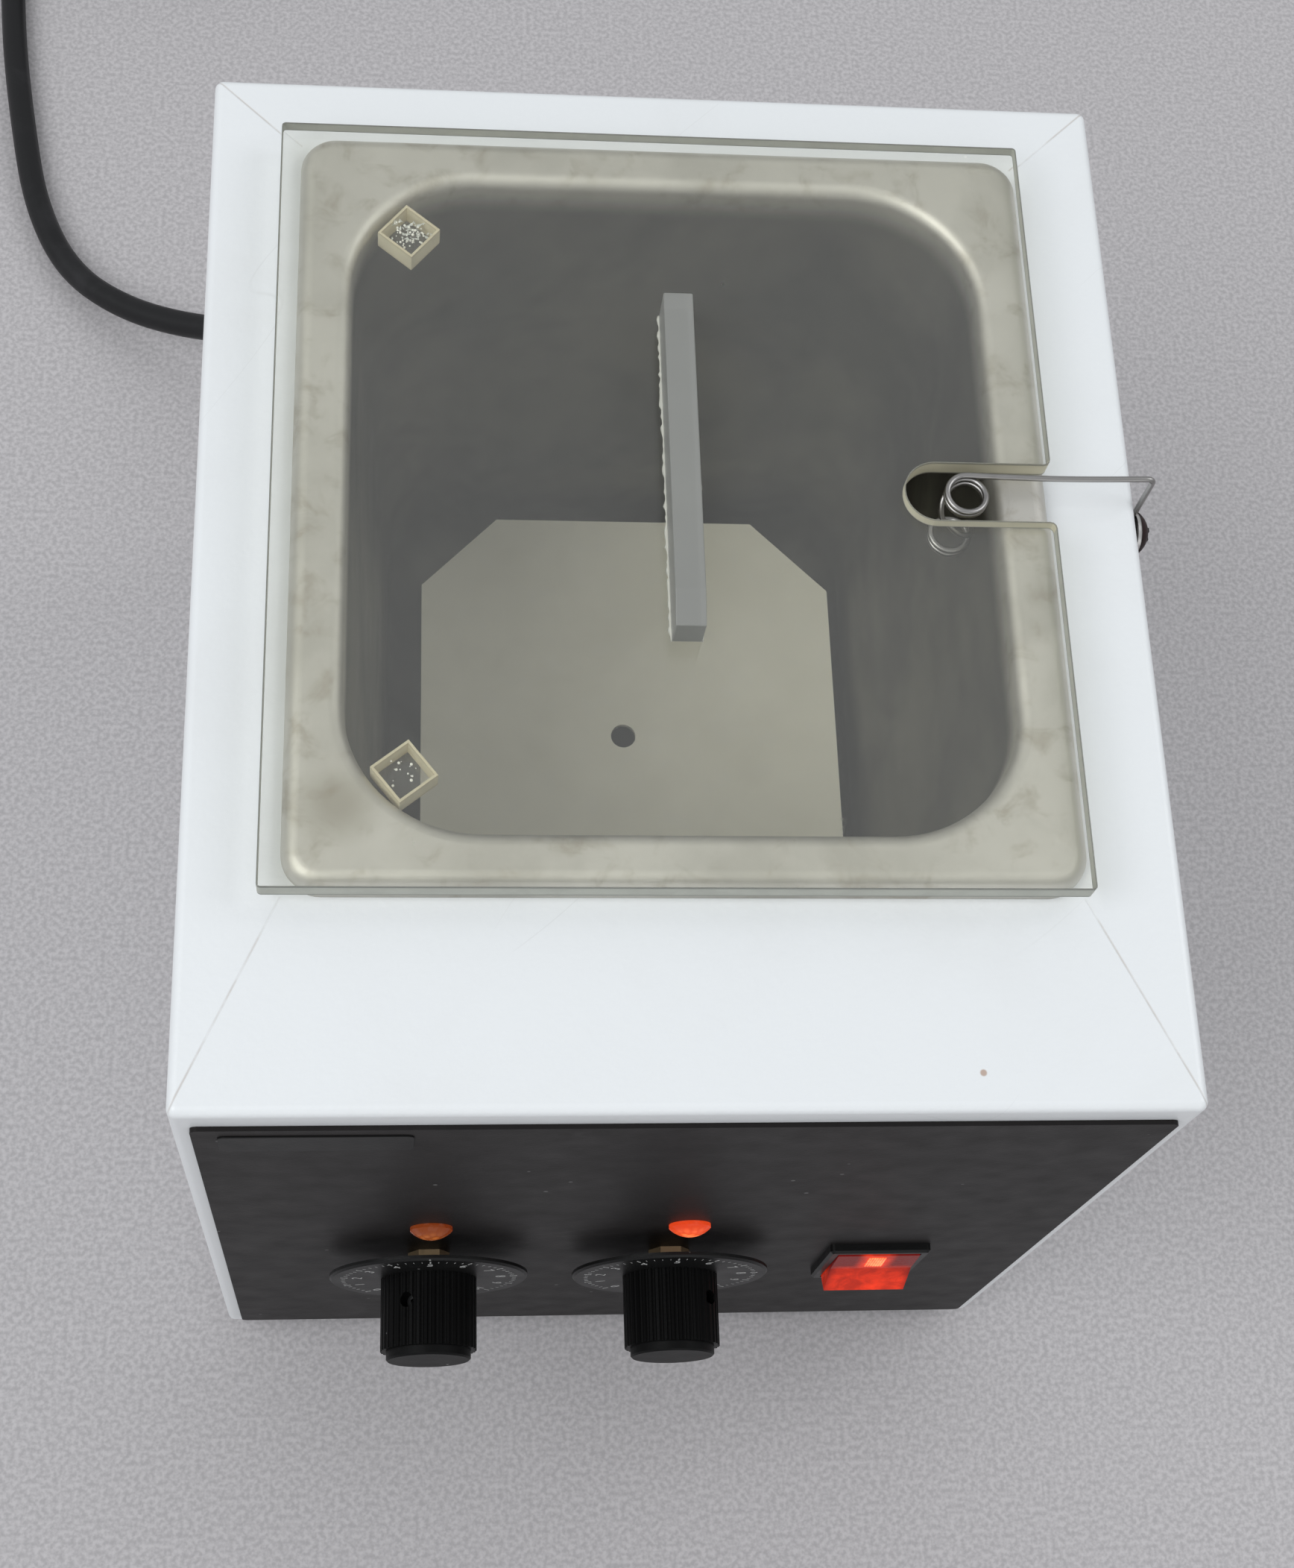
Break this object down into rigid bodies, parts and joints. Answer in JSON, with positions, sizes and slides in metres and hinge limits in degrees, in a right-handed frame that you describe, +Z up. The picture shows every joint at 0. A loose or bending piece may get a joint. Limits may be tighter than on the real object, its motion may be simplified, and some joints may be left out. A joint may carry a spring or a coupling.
{
  "type": "water bath",
  "caption": "Small bench water bath: stainless tank in a white steel case, clear lid with handle, thermostat knobs, lit rocker switch, thermometer clip and mains cord.",
  "frame": {"origin": "bottom centre of the bounding box without the mains cord, on the table under the feet", "axes": "+Z up, -Y out of the control panel, +X to the right seen from the panel"},
  "size_m": [0.3032, 0.5995, 0.2474],
  "materials": {
    "case_paint": "semi-gloss white powder coat with a fine orange-peel",
    "panel_paint": "satin black printed panel",
    "base_steel": "plain galvanised sheet",
    "tank_steel": "drawn stainless, satin, slightly stained",
    "shelf_steel": "satin stainless sheet",
    "fastener": "zinc-plated steel",
    "foot_rubber": "matt black rubber",
    "insulation": "glass-fibre blanket",
    "heater_mica": "mica plate",
    "copper": "bare copper bulb and capillary",
    "thermostat_case": "moulded phenolic",
    "brass": "dull brass",
    "shaft_steel": "turned steel",
    "dial_black": "satin black, white graduations",
    "knob_black": "black moulded, fluted",
    "cap_black": "smooth satin black",
    "set_screw_black": "black oxide",
    "amber_lens": "amber moulded lens, unlit",
    "red_lens": "red-orange lens, lit; emissive",
    "lamp_tube": "natural nylon",
    "switch_black": "moulded nylon",
    "switch_red": "translucent red rocker, lit; emissive",
    "wire_steel": "stainless spring wire",
    "clip_black": "black domed screw head",
    "acrylic": "clear cast acrylic, lightly scratched",
    "acrylic_block": "clear acrylic, slightly yellowed",
    "cord_rubber": "black jacket",
    "relief_nylon": "black nylon",
    "block_plastic": "white nylon",
    "wire_insulation": "sleeved wire",
    "ground_green": "green-tinted steel"
  },
  "bodies": {
    "case": {"case_shell": "case_paint", "front_panel": "panel_paint", "base_plate": "base_steel", "base_screws": "fastener", "rubber_feet": "foot_rubber", "foot_screws": "fastener", "foot_nuts": "fastener", "tank": "tank_steel", "tank_insulation": "insulation", "heater_studs": "fastener", "heater_element": "heater_mica", "heater_clamp_plate": "base_steel", "heater_nuts": "fastener", "switch_housing": "switch_black", "switch_pivot_pin": "fastener", "switch_terminals": "brass", "thermometer_clip": "wire_steel", "clip_washers": "fastener", "clip_screw": "clip_black", "clip_nut": "fastener", "strain_relief": "relief_nylon", "terminal_block": "block_plastic", "terminal_screws": "fastener", "ground_screw": "ground_green", "wiring": "wire_insulation", "power_cord": "cord_rubber", "cord_tail": "cord_rubber", "cord_coil": "cord_rubber", "cord_tie": "relief_nylon", "plug_body": "cord_rubber", "plug_blades": "brass", "heating_lamp_lens": "amber_lens", "limit_lamp_lens": "red_lens", "heating_lamp_body": "lamp_tube", "limit_lamp_body": "lamp_tube", "temp_thermostat": "thermostat_case", "temp_panel_nut": "brass", "temp_sensor": "copper", "limit_thermostat": "thermostat_case", "limit_panel_nut": "brass", "limit_sensor": "copper"},
    "temp_control": {"temp_shaft": "shaft_steel", "temp_dial": "dial_black", "temp_knob": "knob_black", "temp_set_screw": "set_screw_black", "temp_knob_cap": "cap_black"},
    "limit_control": {"limit_shaft": "shaft_steel", "limit_dial": "dial_black", "limit_knob": "knob_black", "limit_set_screw": "set_screw_black", "limit_knob_cap": "cap_black"},
    "power_rocker": {"switch_rocker": "switch_red"},
    "lid": {"lid_plate": "acrylic", "lid_handle": "acrylic", "lid_blocks": "acrylic_block"},
    "shelf": {"diffuser_shelf": "shelf_steel"}
  },
  "joints": [
    {"name": "temp_control_turn", "type": "hinge", "parent": "case", "child": "temp_control", "pos_m": [-0.0522, -0.117, 0.1], "axis": [0, -1, 0], "range_deg": [-150, 150]},
    {"name": "limit_control_turn", "type": "hinge", "parent": "case", "child": "limit_control", "pos_m": [0.0051, -0.117, 0.1], "axis": [0, -1, 0], "range_deg": [-150, 150]},
    {"name": "power_rocker_tip", "type": "hinge", "parent": "case", "child": "power_rocker", "pos_m": [0.056, -0.105, 0.0885], "axis": [1, 0, 0], "range_deg": [0, 19]},
    {"name": "lid_lift", "type": "slide", "parent": "case", "child": "lid", "axis": [0, 0, 1], "range_m": [0, 0.08]},
    {"name": "shelf_lift", "type": "slide", "parent": "case", "child": "shelf", "axis": [0, 0, 1], "range_m": [0, 0.1]}
  ]
}
